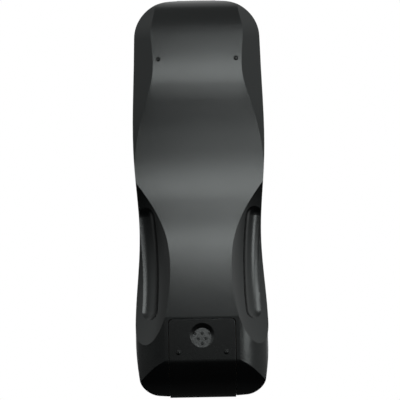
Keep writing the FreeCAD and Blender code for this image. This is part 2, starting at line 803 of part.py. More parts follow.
def cap_edge(shape, name):
    edge = shape.Edges[int(name[4:]) - 1]
    return edge.BoundBox.ZMax > size("flange_thickness") + size("shell_wall")


def key_hole(key, grow, low, high):
    """Opening for one key, grown evenly round its outline."""
    x, y = key_place(key)
    if key[1] in ROUND_FORMS:
        radius = evaluated(sheet, ROUND_FORMS[key[1]]) / 2 + grow
        return post(x, y, low, high, radius)
    width, length = (evaluated(sheet, text) / 2 + grow for text in KEY_FORMS[key[1]])
    hole = block(x - width, x + width, y - length, y + length, low, high)
    edges = [edge for edge in hole.Edges if abs(edge.tangentAt(edge.FirstParameter).z) > 0.999]
    return hole.makeFillet(size("key_corner") + grow, edges)


def post_places():
    rows = (size("post_top"), size("post_bottom"))
    return [(side * size("post_offset"), y) for y in rows for side in (-1, 1)]


def window_block(grow, thickness, front):
    """Space of the infrared window at the top end, grown evenly."""
    half = size("window_half_width") + grow
    low = PARTING + size("window_low") - grow
    high = PARTING + size("window_high") + grow
    return block(-half, half, front - thickness, front, low, high)


# Front shell: one tray with rounded rim, key openings, board posts and the window's notch

def make_front_housing(keys):
    wall = size("shell_wall")
    gap = size("seam_gap")
    outer = plan_prism(PARTING, FACE, 0)
    rim = [edge for edge in outer.Edges if abs(edge.BoundBox.ZMin - FACE) < 1e-4]
    outer = outer.makeFillet(size("face_edge"), rim)
    low = PARTING - BEYOND
    cavity = plan_prism(low, INNER_FACE, wall)
    rebate = plan_prism(low, PARTING + wall + gap, wall / 2 - size("lip_gap"))
    shadow = plan_prism(low, PARTING + gap, gap)
    band = plan_prism(low, PARTING + gap, -BEYOND).cut(shadow)
    shell = outer.cut([cavity, rebate, band])
    post_radius = size("post_diameter") / 2
    shell = shell.fuse([post(x, y, BOARD_TOP, INNER_FACE + ROOT, post_radius) for x, y in post_places()])
    cuts = [key_hole(key, size("key_gap"), INNER_FACE - ROOT, FACE + BEYOND) for key in keys]
    hole_top = PARTING + size("screw_length") + size("screw_tip_gap")
    cuts += [post(x, y, low, hole_top, size("screw_diameter") / 2) for x, y in post_places()]
    cuts.append(window_block(gap / 2, size("window_thickness") + BEYOND, END + BEYOND))
    return feature("front_housing", shell.cut(cuts).removeSplitter())


# Back shell: humps and valley, flanks, scoops, grooves, pips, the battery bay and its opening

def bay_block():
    """Solid walls and ceiling of the battery bay, rooted in the shell's own wall."""
    wall = size("bay_wall")
    root = size("shell_wall") / 2
    walls = block(-BAY_HALF - wall, BAY_HALF + wall, BAY_BOTTOM - wall, size("bay_top") + wall,
                  0, BAY_CEILING + size("bay_ceiling_wall"))
    walls = walls.common(above_back(root, PARTING))
    return walls.cut([scoop(side, SCOOP_WALL * root) for side in (-1, 1)])


def contact_slots():
    """Slots through the bay's ceiling for the legs of the two end contacts."""
    gap = size("contact_slot_gap")
    half = size("contact_leg") / 2 + gap
    return [block(x - half, x + half, NUB_TIP - gap, size("bay_top"), BAY_CEILING - ROOT, PARTING)
            for x in (-CELL_OFFSET, CELL_OFFSET)]


def door_plan(grow):
    """Upright prism of the door's outline, grown evenly."""
    return rounded_slab(size("door_half_width") + grow, -END - BEYOND, size("door_top") + grow,
                        size("door_corner"), -BEYOND, PARTING - size("seam_gap"))


def door_tracks():
    """Grooves in the bay's side walls in which the door's rails run."""
    gap = size("rail_clearance")
    half = BAY_HALF + size("rail_hook")
    low = DOOR_INSIDE + size("rail_flange_lift")
    high = low + size("rail_flange")
    return block(-half, half, -END - BEYOND, size("rail_top") + gap, low - gap, high + gap)


def back_form():
    """The outer form of the back shell as one solid, with its scoops and finger grooves."""
    form = flank_solid(0).common(above_back(0, PARTING))
    tools = [scoop(side, 0) for side in (-1, 1)]
    tools += [groove(side, size("groove_radius")) for side in (-1, 1)]
    return form.cut(tools)


def back_cavity():
    """Space inside the back shell, which keeps the wall round the scoops and grooves."""
    wall = size("shell_wall")
    space = flank_solid(wall).common(above_back(wall, PARTING))
    space = space.fuse(plan_prism(PARTING - ROOT, PARTING + BEYOND, wall))
    tools = [scoop(side, SCOOP_WALL * wall) for side in (-1, 1)]
    tools += [groove(side, size("groove_radius") + GROOVE_WALL * wall) for side in (-1, 1)]
    return space.cut(tools)


def back_lip():
    """Thin lip on the back shell's edge that stands in the front shell's rebate."""
    wall = size("shell_wall")
    lip = plan_prism(PARTING - wall, PARTING + wall, wall / 2 + size("lip_gap"))
    return lip.cut(plan_prism(PARTING - 3 * wall, PARTING + 3 * wall, wall))


def make_back_housing():
    gap = size("seam_gap")
    shell = back_form().cut(back_cavity()).fuse(bay_block())
    pips = [pip(side * size("upper_pip_offset"), size("upper_pip_station")) for side in (-1, 1)]
    shell = shell.fuse([back_lip()] + pips)
    bay = block(-BAY_HALF, BAY_HALF, BAY_BOTTOM, size("bay_top"), 0, BAY_CEILING)
    bay = bay.common(above_back(size("shell_wall"), PARTING))
    opening = door_plan(gap).cut(above_back(size("door_wall") + gap, PARTING + BEYOND))
    window = window_block(gap / 2, size("window_thickness") + BEYOND, END + BEYOND)
    shell = shell.cut([bay, opening, door_tracks(), window] + contact_slots())
    return feature("back_housing", shell.removeSplitter())


# Battery door: a piece of the same surface, with a thumb recess, grip bumps, pips, side rails and a latch

def thumb_floor_depth(along):
    """Depth of the thumb recess's floor at this distance from its middle towards the infrared end."""
    radius = size("thumb_radius")
    rise = (size("thumb_depth") - size("thumb_lower_depth")) / (2 * radius)
    return size("thumb_lower_depth") + rise * (along + radius)


def thumb_recess():
    """Space of the thumb recess: round, with a sloped wall, its floor deepest towards the infrared end."""
    radius = size("thumb_radius")
    run = 1 / math.tan(math.radians(size("thumb_wall_slope")))
    deepest = size("thumb_depth")
    funnel = Part.makeCone(radius + run, radius - run * deepest, 1 + deepest, Vector(0, 0, -1))
    ends = (radius + run, -radius - run)
    corners = [Vector(0, y, -1) for y in reversed(ends)] + [Vector(0, y, thumb_floor_depth(y)) for y in ends]
    profile = Part.Face(Part.makePolygon(corners + corners[:1]))
    floor = profile.extrude(Vector(2 * ends[0], 0, 0))
    floor.translate(Vector(-ends[0], 0, 0))
    space = funnel.common(floor)
    place = Vector(0, size("thumb_station"), tail_level(size("thumb_station")))
    space.Placement = Placement(place, Rotation(Vector(1, 0, 0), -size("tail_tilt")))
    return space


def thumb_places():
    """Grip bumps' places and the floor's level there: rows of three, two and one towards the bottom end."""
    places = []
    for row, count in enumerate((3, 2, 1)):
        along = size("thumb_bump_shift") - row * size("thumb_row_pitch")
        y = size("thumb_station") + along
        for number in range(count):
            x = (number - (count - 1) / 2) * size("thumb_bump_pitch")
            places.append(Vector(x, y, tail_level(y) + thumb_floor_depth(along)))
    return places


def thumb_pits():
    """Round pits in the floor of the thumb recess, one round each grip bump."""
    drop = Vector(0, 0, size("thumb_pit_depth") - size("thumb_pit_radius"))
    return [Part.makeSphere(size("thumb_pit_radius"), place + drop) for place in thumb_places()]


def thumb_bumps():
    """Grip bumps, each half a ball that stands in its pit and a little above the floor."""
    radius = size("thumb_bump_radius")
    rise = Vector(0, 0, radius - size("thumb_bump_height"))
    bumps = []
    for place in thumb_places():
        middle = place + rise
        ball = Part.makeSphere(radius, middle)
        stem = post(middle.x, middle.y, middle.z, place.z + size("thumb_pit_depth") + ROOT, radius)
        half = block(middle.x - radius, middle.x + radius, middle.y - radius, middle.y + radius, 0, middle.z)
        bumps.append(ball.common(half).fuse(stem))
    return bumps

def door_rails():
    """Rails with an outward hook along the door's sides, which keep it in the bay's tracks."""
    top = size("rail_top")
    bottom = top - size("rail_length")
    outer = BAY_HALF - size("rail_clearance")
    inner = outer - size("rail_web")
    hook = outer + size("rail_hook")
    flange_low = DOOR_INSIDE + size("rail_flange_lift")
    flange_high = flange_low + size("rail_flange")
    rails = []
    for side in (-1, 1):
        rails.append(side_block(side, inner, outer, bottom, top, DOOR_INSIDE - ROOT, flange_high))
        rails.append(side_block(side, inner, hook, bottom, top, flange_low, flange_high))
    return rails


def door_latch():
    """Tongue at the door's top edge that goes under the edge of the back shell."""
    half = size("latch_half_width")
    root = size("door_top") - size("latch_root")
    low = DOOR_INSIDE + size("seam_gap")
    high = low + size("latch_thickness")
    tongue = block(-half, half, root, size("door_top") + size("latch_reach"), low, high)
    foot = block(-half, half, root, (root + size("door_top")) / 2, DOOR_INSIDE - ROOT, high)
    return [tongue, foot]


def door_ribs():
    half = size("door_rib_half_width")
    places = (size("door_pip_station"), size("thumb_station") + size("thumb_radius"))
    ribs = []
    for y in places:
        inside = tail_level(y) + size("door_wall")
        far = y + size("door_rib_thickness")
        ribs.append(block(-half, half, y, far, inside - ROOT, inside + size("door_rib")))
    return ribs


def make_battery_door():
    skin = door_plan(0).common(above_back(0, PARTING))
    skin = skin.cut(above_back(size("door_wall"), PARTING + BEYOND))
    skin = skin.cut([thumb_recess()] + thumb_pits())
    pips = [pip(side * size("door_pip_offset"), size("door_pip_station")) for side in (-1, 1)]
    added = thumb_bumps() + pips + door_rails() + door_ribs() + door_latch()
    return feature("battery_door", skin.fuse(added).removeSplitter())


# Infrared window and its diode

def make_ir_window():
    """Pane in the notch of the two shells, with a flange behind them that keeps it in."""
    back = END - size("window_thickness")
    pane = window_block(0, size("window_thickness"), END)
    flange = window_block(size("window_lip"), size("window_flange"), back + size("window_flange"))
    return feature("ir_window", pane.fuse(flange).removeSplitter())


def make_ir_led():
    """Round-nosed diode in front of the board's edge, with two leads on the board."""
    radius = size("led_radius")
    half = size("led_lead") / 2
    level = BOARD_TOP + half
    front = END - size("window_thickness") - size("led_gap")
    back = front - size("led_length")
    foot = Vector(0, back, level)
    forward = Vector(0, 1, 0)
    can = Part.makeCylinder(radius, size("led_length") - radius, foot, forward)
    rim = Part.makeCylinder(radius + size("led_rim"), size("led_rim_thickness"), foot, forward)
    dome = Part.makeSphere(radius, Vector(0, front - radius, level))
    low = size("board_top") - size("led_lead_reach")
    leads = [block(x - half, x + half, low, back + ROOT, BOARD_TOP, BOARD_TOP + 2 * half)
             for x in (-size("led_lead_offset"), size("led_lead_offset"))]
    return feature("ir_led", can.fuse([rim, dome] + leads))


# Silicone sheet and circuit board

def board_outline(sketch, shrink):
    half = "sizes.board_half_width - %s" % shrink
    top = "sizes.board_top - %s" % shrink
    bottom = "sizes.board_bottom + %s" % shrink
    draw_polygon(sketch, [("-(%s)" % half, bottom), (half, bottom), (half, top), ("-(%s)" % half, top)])


def post_expressions():
    rows = ("sizes.post_top", "sizes.post_bottom")
    return [("%d * sizes.post_offset" % side, y) for y in rows for side in (-1, 1)]


def make_circuit_board():
    body = new_body("circuit_board")
    outline = new_sketch(body, "board_outline", "XY_Plane")
    board_outline(outline, "0")
    plate = add_pad(body, "board_plate", outline, "sizes.board_thickness")
    add_fillet(body, "board_corners", plate, upright_edges(plate.Shape), "sizes.board_corner")
    holes = new_sketch(body, "board_holes", "XY_Plane")
    for x, y in post_expressions():
        draw_circle(holes, "sizes.screw_diameter + sizes.board_hole_gap", x, y)
    add_pocket(body, "board_screw_holes", holes, "sizes.board_thickness")
    place(body, "0", "0", PARTING_TEXT)
    return body


def make_keypad_membrane():
    """Sheet with a dome under each key and round holes for the posts."""
    body = new_body("keypad_membrane")
    outline = new_sketch(body, "sheet_outline", "XY_Plane")
    board_outline(outline, "sizes.sheet_margin")
    plate = add_pad(body, "sheet_plate", outline, "sizes.sheet_thickness")
    corner = "sizes.board_corner - sizes.sheet_margin"
    add_fillet(body, "sheet_corners", plate, upright_edges(plate.Shape), corner)
    holes = new_sketch(body, "sheet_holes", "XY_Plane")
    for x, y in post_expressions():
        draw_circle(holes, "sizes.post_diameter + sizes.sheet_hole_gap", x, y)
    add_pocket(body, "sheet_post_holes", holes, "sizes.sheet_thickness")
    domes = new_sketch(body, "dome_places", "XY_Plane", "sizes.sheet_thickness")
    for key in KEYS:
        draw_circle(domes, "2 * sizes.dome_base", key[2], key[3])
    pad = add_pad(body, "domes", domes, DOME_HEIGHT)
    pad.setExpression("TaperAngle", "-atan((sizes.dome_base - sizes.dome_tip) / (%s))" % DOME_HEIGHT)
    place(body, "0", "0", PARTING_TEXT + " + sizes.board_thickness")
    return body


def make_board_screws():
    """Four equal screws through the board into the front shell's posts, each with a cross slot."""
    low = PARTING - size("screw_head_height")
    shank_radius = size("screw_diameter") / 2 - size("screw_thread_gap")
    long_half = size("screw_slot_length") / 2
    narrow_half = size("screw_slot_width") / 2
    slot_top = low + size("screw_head_height") / 2
    screws = []
    for x, y in post_places():
        head = post(x, y, low, PARTING, size("screw_head_diameter") / 2)
        shank = post(x, y, PARTING - ROOT, PARTING + size("screw_length"), shank_radius)
        slots = [block(x - half, x + half, y - other, y + other, low - ROOT, slot_top)
                 for half, other in ((long_half, narrow_half), (narrow_half, long_half))]
        screws.append(head.fuse(shank).cut(slots))
    return feature("board_screws", Part.makeCompound(screws))


# Electronics, hung on the underside of the board

def hung_block(label, part):
    """Moulded part under the board, its place and size bound to the sheet."""
    body = new_body(label)
    sketch = new_sketch(body, label + "_outline", "XY_Plane")
    draw_rectangle(sketch, "sizes.%s_width / 2" % part, "sizes.%s_length / 2" % part)
    pad = add_pad(body, label + "_case", sketch, "sizes.%s_height" % part)
    add_fillet(body, label + "_corners", pad, upright_edges(pad.Shape), "sizes.part_edge")
    level = PARTING_TEXT + " - sizes.%s_height" % part
    place(body, "sizes.%s_offset" % part, "sizes.%s_station" % part, level)
    return body


def make_controller_chip():
    """Flat package with a row of bent pins along each side."""
    outer = size("chip_width") / 2
    bend = outer - size("chip_foot")
    case_half = size("chip_case_width") / 2
    case_length = size("chip_length")
    thick = size("chip_pin_thickness")
    half = size("chip_pin_width") / 2
    pin_low = PARTING - (size("chip_height") + thick) / 2
    pin_high = pin_low + thick
    count = int(case_length / size("chip_pin_pitch")) - 1
    pins = []
    for number in range(count):
        y = (number - (count - 1) / 2) * size("chip_pin_pitch")
        for side in (-1, 1):
            low = y - half
            high = y + half
            pins.append(side_block(side, case_half - thick, bend, low, high, pin_low, pin_high))
            pins.append(side_block(side, bend - thick, bend, low, high, pin_low, PARTING))
            pins.append(side_block(side, bend - thick, outer, low, high, PARTING - thick, PARTING))
    case = block(-case_half, case_half, -case_length / 2, case_length / 2,
                 PARTING - size("chip_height"), PARTING - size("chip_standoff"))
    chip = case.fuse(pins).removeSplitter()
    chip.translate(Vector(0, size("chip_station"), 0))
    return feature("controller_chip", chip)


def make_reservoir_capacitor():
    """Small can lying on the board, with two bent leads."""
    radius = size("capacitor_diameter") / 2
    x = size("capacitor_offset")
    y = size("capacitor_station")
    centre = Vector(x, y, PARTING - radius)
    can = Part.makeCylinder(radius, size("capacitor_length"), centre, Vector(0, 1, 0))
    rims = [edge for edge in can.Edges if abs(edge.BoundBox.YMin - edge.BoundBox.YMax) < 1e-4]
    can = can.makeFillet(size("capacitor_edge"), rims)
    wide = size("lead_width")
    far = y - size("capacitor_lead_reach")
    low = PARTING - radius / 2
    leads = []
    for side in (-1, 1):
        edge = x + side * size("capacitor_lead_pitch") / 2 - wide / 2
        leads.append(block(edge, edge + wide, far, y + ROOT, low, low + wide))
        leads.append(block(edge, edge + wide, far, far + wide, low, PARTING))
    return feature("reservoir_capacitor", can.fuse(leads))


def make_small_parts(label, places, height):
    """A group of equal chip parts, each a solid of its own."""
    width = size("small_part_width") / 2
    length = size("small_part_length") / 2
    chips = [block(x - width, x + width, y - length, y + length, PARTING - height, PARTING)
             for x, y in places]
    return feature(label, Part.makeCompound(chips))


def resistor_places():
    y = size("resonator_station") + size("resistor_row_gap")
    return [((number - 2.5) * size("resistor_pitch"), y) for number in range(6)]


def ceramic_places():
    return [(side * size("ceramic_offset"), size("chip_station") + step * size("ceramic_pitch"))
            for side in (-1, 1) for step in (-1, 0, 1)]


# Cells and their contacts

def make_cell(label, across, low_end, angle):
    """Round cell with its raised nub, along Y, its flat end at low_end and turned by angle about Z."""
    body = new_body(label)
    sketch = new_sketch(body, label + "_profile", "XY_Plane")
    rim = "sizes.cell_diameter / 2"
    nub = "sizes.cell_nub_diameter / 2"
    tip = "sizes.cell_length + sizes.cell_nub_length"
    draw_polygon(sketch, [("0", "0"), (rim, "0"), (rim, "sizes.cell_length"), (nub, "sizes.cell_length"),
                          (nub, tip), ("0", tip)])
    can = body.newObject("PartDesign::Revolution", label + "_can")
    can.Profile = sketch
    can.ReferenceAxis = (sketch, ["V_Axis"])
    can.Angle = 360
    doc.recompute()
    rims = ["Edge%d" % number for number, edge in enumerate(can.Shape.Edges, start=1)
            if edge.Curve.TypeId == "Part::GeomCircle" and abs(edge.Curve.Radius - CELL_RADIUS) < 1e-3]
    add_fillet(body, label + "_rims", can, rims, "sizes.cell_edge")
    body.Placement = Placement(Vector(), Rotation(Vector(0, 0, 1), angle))
    place(body, across, low_end, CELL_HEIGHT)
    return body


def coil_height():
    return size("spring_length") - size("spring_wire") - 2 * size("spring_end_gap")


def coil_point(turn):
    """Centre of the wire after a number of turns, with the coil standing along Z on Z = 0."""
    angle = 2 * math.pi * turn
    radius = size("spring_radius")
    rise = coil_height() * turn / size("spring_turns")
    return Vector(radius * math.cos(angle), radius * math.sin(angle), rise)


def coil_gap():
    """Least gap between the wire and its next turn, measured on points along it."""
    steps = 24
    places = [number / steps for number in range(int(size("spring_turns") * steps) + 1)]
    apart = [(coil_point(after) - coil_point(before)).Length
             for before in places for after in places if after - before > 0.5]
    return min(apart) - size("spring_wire")


def coil(x, low_y, plate_above):
    """Round coil between a cell's flat end and its plate, along Y, with its wire's end led to the plate."""
    wire = size("spring_wire") / 2
    helix = Part.makeHelix(coil_height() / size("spring_turns"), coil_height(), size("spring_radius"))
    start = Part.Wire(Part.Circle(coil_point(0), Vector(0, 1, 0), wire).toShape())
    spring = Part.Wire(helix).makePipeShell([start], True, True)
    end = coil_point(size("spring_turns") if plate_above else 0)
    direction = Vector(0, 0, 1 if plate_above else -1)
    lead = wire + size("spring_end_gap") + size("contact_thickness") / 2
    spring = spring.fuse([Part.makeSphere(wire, end), Part.makeCylinder(wire, lead, end, direction)])
    spring.rotate(Vector(0, 0, 0), Vector(1, 0, 0), -90)
    spring.translate(Vector(x, low_y + wire + size("spring_end_gap"), CELL_LEVEL))
    return spring


def contact_plate(x, low_y, leg):
    thick = size("contact_thickness")
    half = size("contact_width") / 2
    tall = size("contact_height") / 2
    plate = block(x - half, x + half, low_y, low_y + thick, CELL_LEVEL - tall, CELL_LEVEL + tall)
    if leg:
        width = size("contact_leg") / 2
        plate = plate.fuse(block(x - width, x + width, low_y, low_y + thick, CELL_LEVEL, PARTING))
    return plate


def make_contacts():
    """Plate for the left nub, plate with a coil for the right cell, and the bridge at the other ends."""
    thick = size("contact_thickness")
    positive = contact_plate(-CELL_OFFSET, NUB_TIP, True)
    negative = contact_plate(CELL_OFFSET, NUB_TIP, True)
    negative = negative.fuse(coil(CELL_OFFSET, TURNED_TOP, True))
    half = CELL_OFFSET + size("contact_width") / 2
    tall = size("contact_height") / 2
    bridge = block(-half, half, BAY_BOTTOM, BAY_BOTTOM + thick, CELL_LEVEL - tall / 2, CELL_LEVEL + tall)
    knob = Part.makeCylinder(size("contact_knob_radius"), TURNED_NUB - BAY_BOTTOM,
                             Vector(CELL_OFFSET, BAY_BOTTOM, CELL_LEVEL), Vector(0, 1, 0))
    bridge = bridge.fuse([coil(-CELL_OFFSET, BAY_BOTTOM + thick, False), knob])
    return [feature("contact_positive", positive), feature("contact_negative", negative),
            feature("contact_bridge", bridge)]


# All the pieces, from the shells inwards

doc.recompute()
KEYS = key_table()
nodes = [make_front_housing(KEYS), make_back_housing(), make_battery_door(), make_ir_window(), make_ir_led()]
nodes += [make_circuit_board(), make_keypad_membrane(), make_board_screws(), make_controller_chip()]
nodes.append(hung_block("resonator", "resonator"))
nodes.append(hung_block("led_driver_transistor", "transistor"))
nodes.append(make_reservoir_capacitor())
nodes.append(make_small_parts("chip_resistors", resistor_places(), size("resistor_height")))
nodes.append(make_small_parts("chip_capacitors", ceramic_places(), size("ceramic_height")))
LOW_END = NUB_TEXT + " - sizes.cell_nub_length - sizes.cell_length"
nodes.append(make_cell("battery_left", "-" + CELL_PLACE, LOW_END, 0))
nodes.append(make_cell("battery_right", CELL_PLACE, NUB_TEXT + " - sizes.spring_length", 180))
nodes += make_contacts()
for key in KEYS:
    nodes.append(make_key(key))
doc.recompute()

for item in doc.Objects:
    if "Invalid" in item.State or "Error" in item.State:
        raise ValueError(item.Label + " failed")
for node in nodes:
    if node.Shape.isNull() or not node.Shape.isValid():
        raise ValueError(node.Label + " is not valid")

os.makedirs("parts", exist_ok=True)
for node in nodes:
    node.Shape.exportStep("parts/%s.step" % node.Label)
    print(node.Label, len(node.Shape.Solids), round(node.Shape.Volume, 1))
print("least gap between the coil's turns", round(coil_gap(), 2))
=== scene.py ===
import math

import bpy
from mathutils import Matrix, Vector


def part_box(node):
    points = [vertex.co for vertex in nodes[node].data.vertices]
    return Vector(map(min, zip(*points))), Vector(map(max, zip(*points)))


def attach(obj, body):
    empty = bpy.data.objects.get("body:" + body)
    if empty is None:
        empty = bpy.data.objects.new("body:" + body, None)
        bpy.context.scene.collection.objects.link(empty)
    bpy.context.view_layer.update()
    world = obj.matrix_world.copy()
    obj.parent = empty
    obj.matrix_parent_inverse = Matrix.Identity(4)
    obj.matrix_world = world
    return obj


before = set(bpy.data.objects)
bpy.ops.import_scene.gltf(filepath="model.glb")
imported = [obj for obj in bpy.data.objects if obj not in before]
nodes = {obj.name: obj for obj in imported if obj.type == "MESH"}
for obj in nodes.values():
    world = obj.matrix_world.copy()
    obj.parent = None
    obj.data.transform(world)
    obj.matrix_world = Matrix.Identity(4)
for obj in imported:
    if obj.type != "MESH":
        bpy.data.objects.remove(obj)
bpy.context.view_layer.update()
bpy.ops.object.select_all(action="DESELECT")


# The camera looks up at the back of the remote, which lies on its back. Its up is +Y, so its
# right is -X, and it is turned a little about its own axis, as in the photograph.
PIXELS_ACROSS = 400
METRES_PER_PIXEL = 0.0005015
CAMERA_DISTANCE = 1.2
OUTLINE_HEIGHT = 0.018
SENSOR_WIDTH = 36.0
NEAR_LIMIT = 0.01
CAMERA_ROLL = 0.0185
CENTRE_LEFT = 0.3 * METRES_PER_PIXEL
CENTRE_UP = 0.8 * METRES_PER_PIXEL

camera_data = bpy.data.cameras.new("camera")
camera_data.sensor_width = SENSOR_WIDTH
camera_data.lens = SENSOR_WIDTH * CAMERA_DISTANCE / (METRES_PER_PIXEL * PIXELS_ACROSS)
camera_data.clip_start = NEAR_LIMIT
camera = bpy.data.objects.new("camera", camera_data)
bpy.context.scene.collection.objects.link(camera)
right = Vector((-math.cos(CAMERA_ROLL), -math.sin(CAMERA_ROLL), 0))
up = Vector((-math.sin(CAMERA_ROLL), math.cos(CAMERA_ROLL), 0))
back = Vector((0, 0, -1))
place = back * (CAMERA_DISTANCE - OUTLINE_HEIGHT) + right * CENTRE_LEFT - up * CENTRE_UP
camera.matrix_world = Matrix.Translation(place) @ Matrix((right, up, back)).transposed().to_4x4()
bpy.context.scene.camera = camera
bpy.context.scene.view_settings.view_transform = "Standard"


# A plain pale floor, solid to what comes from above and clear from below, so that the camera
# under it sees the back. A ray that has come up through it once is let out again.
FLOOR_RADIUS = 12
FLOOR_SIDES = 96
FLOOR_COLOUR = (0.82, 0.82, 0.82, 1)


def emptied(owner):
    """The node tree of a material or a world, with nothing in it."""
    owner.use_nodes = True
    owner.node_tree.nodes.clear()
    return owner.node_tree


def chained(tree, kind, inputs, **settings):
    """Adds a node with its settings and inputs, which are values or other nodes' sockets."""
    node = tree.nodes.new(kind)
    for name, value in settings.items():
        setattr(node, name, value)
    for name, value in inputs.items():
        if isinstance(value, bpy.types.NodeSocket):
            tree.links.new(value, node.inputs[name])
        else:
            node.inputs[name].default_value = value
    return node


def combined(tree, operation, first, second, **settings):
    inputs = {0: first, 1: second}
    return chained(tree, "ShaderNodeMath", inputs, operation=operation, **settings).outputs[0]


bpy.ops.mesh.primitive_circle_add(vertices=FLOOR_SIDES, radius=FLOOR_RADIUS, fill_type="NGON")
floor = bpy.context.object
floor.name = "floor"
pale_floor = bpy.data.materials.new("pale_floor")
tree = emptied(pale_floor)
ray = chained(tree, "ShaderNodeLightPath", {}).outputs
behind = chained(tree, "ShaderNodeNewGeometry", {}).outputs["Backfacing"]
first_time = combined(tree, "LESS_THAN", ray["Transparent Depth"], 0.5)
from_above = combined(tree, "SUBTRACT", first_time, behind, use_clamp=True)
clear = chained(tree, "ShaderNodeBsdfTransparent", {}).outputs[0]
paint = chained(tree, "ShaderNodeBsdfDiffuse", {"Color": FLOOR_COLOUR}).outputs[0]
shown = chained(tree, "ShaderNodeMixShader", {0: from_above, 1: clear, 2: paint}).outputs[0]
chained(tree, "ShaderNodeOutputMaterial", {"Surface": shown})
floor.data.materials.append(pale_floor)


# The room: white walls and ceiling above the floor, and below it a room that is pale towards the
# infrared end and the sides and dark towards the battery end. The camera sees white all round.
# What lights the remote and what its gloss mirrors have levels of their own.
CEILING_LIGHT = 0.55
CEILING_GLOSS = 1.0
BELOW_LIGHT = 0.05
BELOW_GLOSS = 0.23
PALE_END_GLOSS = 0.22
PALE_LEFT_GLOSS = 0.42
PALE_RIGHT_GLOSS = 0.6
DARK_END_SHARE = 0.03
DIM_SIDE_SHARE = 0.35
WHITE = (1, 1, 1, 1)

room = bpy.data.worlds.new("room")
bpy.context.scene.world = room
room_tree = emptied(room)
ray = chained(room_tree, "ShaderNodeLightPath", {}).outputs
direction = chained(room_tree, "ShaderNodeTexCoord", {}).outputs["Generated"]
towards = chained(room_tree, "ShaderNodeSeparateXYZ", {0: direction}).outputs


def fading(axis, start, end, before, after):
    """A level along one axis of the direction, which changes evenly from start to end."""
    inputs = {"Value": towards[axis], "From Min": start, "From Max": end,
              "To Min": before, "To Max": after}
    return chained(room_tree, "ShaderNodeMapRange", inputs).outputs[0]


def both(first, second):
    return combined(room_tree, "ADD", first, second)


def share_of(first, second):
    return combined(room_tree, "MULTIPLY", first, second)


def chosen(factor, first, second):
    inputs = {"Factor": factor, "A": first, "B": second}
    return chained(room_tree, "ShaderNodeMix", inputs).outputs[0]


pale_end = fading("Y", start=0.08, end=0.4, before=0.0, after=PALE_END_GLOSS)
pale_left = fading("X", start=0.2, end=0.8, before=0.0, after=PALE_LEFT_GLOSS)
pale_left = share_of(pale_left, fading("Y", start=-0.2, end=0.1, before=0.0, after=1.0))
pale_right = fading("X", start=-0.2, end=-0.8, before=0.0, after=PALE_RIGHT_GLOSS)
dark_end = fading("Y", start=-0.42, end=0.04, before=DARK_END_SHARE, after=1.0)
dark_wall = fading("Y", start=-0.65, end=-0.35, before=DARK_END_SHARE, after=1.0)
dim_side = fading("X", start=0.3, end=0.8, before=1.0, after=DIM_SIDE_SHARE)
above_floor = fading("Z", start=-0.05, end=0.05, before=0.0, after=1.0)

mirrored = combined(room_tree, "MAXIMUM", ray["Is Glossy Ray"], ray["Is Transmission Ray"])
below_gloss = share_of(both(both(pale_end, pale_left), both(pale_right, BELOW_GLOSS)), dark_end)
below = chosen(mirrored, BELOW_LIGHT, below_gloss)
ceiling = chosen(mirrored, CEILING_LIGHT, CEILING_GLOSS)
ceiling = share_of(share_of(ceiling, dark_wall), dim_side)
strength = combined(room_tree, "MAXIMUM", ray["Is Camera Ray"], chosen(above_floor, below, ceiling))
light = chained(room_tree, "ShaderNodeBackground", {"Color": WHITE, "Strength": strength})
chained(room_tree, "ShaderNodeOutputWorld", {"Surface": light.outputs[0]})


# The lamps: a large soft one under the infrared end, which lights the back, a weaker one to its
# side, and two soft ones above the keys.
def soft_lamp(name, place, aim, width, watts):
    lamp_data = bpy.data.lights.new(name, "AREA")
    lamp_data.shape = "DISK"
    lamp_data.size = width
    lamp_data.energy = watts
    lamp = bpy.data.objects.new(name, lamp_data)
    bpy.context.scene.collection.objects.link(lamp)
    turn = (Vector(aim) - Vector(place)).to_track_quat("-Z", "Y")
    lamp.matrix_world = Matrix.Translation(place) @ turn.to_matrix().to_4x4()
    lamp.visible_camera = False


soft_lamp("lamp_back", place=(-0.0267, 0.053, -0.305), aim=(0, 0.02, 0), width=0.168, watts=0.33)
soft_lamp("lamp_side", place=(-0.185, -0.06, -0.32), aim=(0, -0.05, 0), width=0.13, watts=0.26)
soft_lamp("lamp_keys", place=(-0.5, -0.25, 0.8), aim=(0, 0, 0), width=0.6, watts=3.0)
soft_lamp("lamp_keys_far", place=(0.6, 0.5, 0.7), aim=(0, 0, 0), width=0.5, watts=1.2)


# The back shell: moulded in black plastic with a satin finish and a fine even grain from the
# mould. The grain is in the surface's slope, colour and gloss drift a little over some
# centimetres, and every edge is slightly rounded.
SHELL_COLOUR = (0.0020, 0.0023, 0.0024)
SHELL_TINT = (0.94, 1.0, 0.99, 1)
SHELL_GRAIN_DEPTH = 0.00003
EDGE_ROUNDING = 0.00022
GRAIN_PER_METRE = 2400.0
DRIFT_PER_METRE = 45.0


def new_finish(name):
    """A material, its node tree, and the Object coordinates that its patterns lie on."""
    material = bpy.data.materials.new(name)
    tree = emptied(material)
    return material, tree, chained(tree, "ShaderNodeTexCoord", {}).outputs["Object"]


def noise(tree, spot, per_metre, detail):
    inputs = {"Vector": spot, "Scale": per_metre, "Detail": detail}
    return chained(tree, "ShaderNodeTexNoise", inputs).outputs[0]


def shaded(colour, factor):
    return [part * factor for part in colour] + [1]


def drifting_colour(tree, share, colour, darkest, palest):
    """The colour between its darkest and its palest shade, as the noise says."""
    inputs = {"Factor": share, "A": shaded(colour, darkest), "B": shaded(colour, palest)}
    return chained(tree, "ShaderNodeMix", inputs, data_type="RGBA").outputs[2]


def drifting_level(tree, share, middle, spread):
    inputs = {"Value": share, "To Min": middle - spread, "To Max": middle + spread}
    return chained(tree, "ShaderNodeMapRange", inputs).outputs[0]


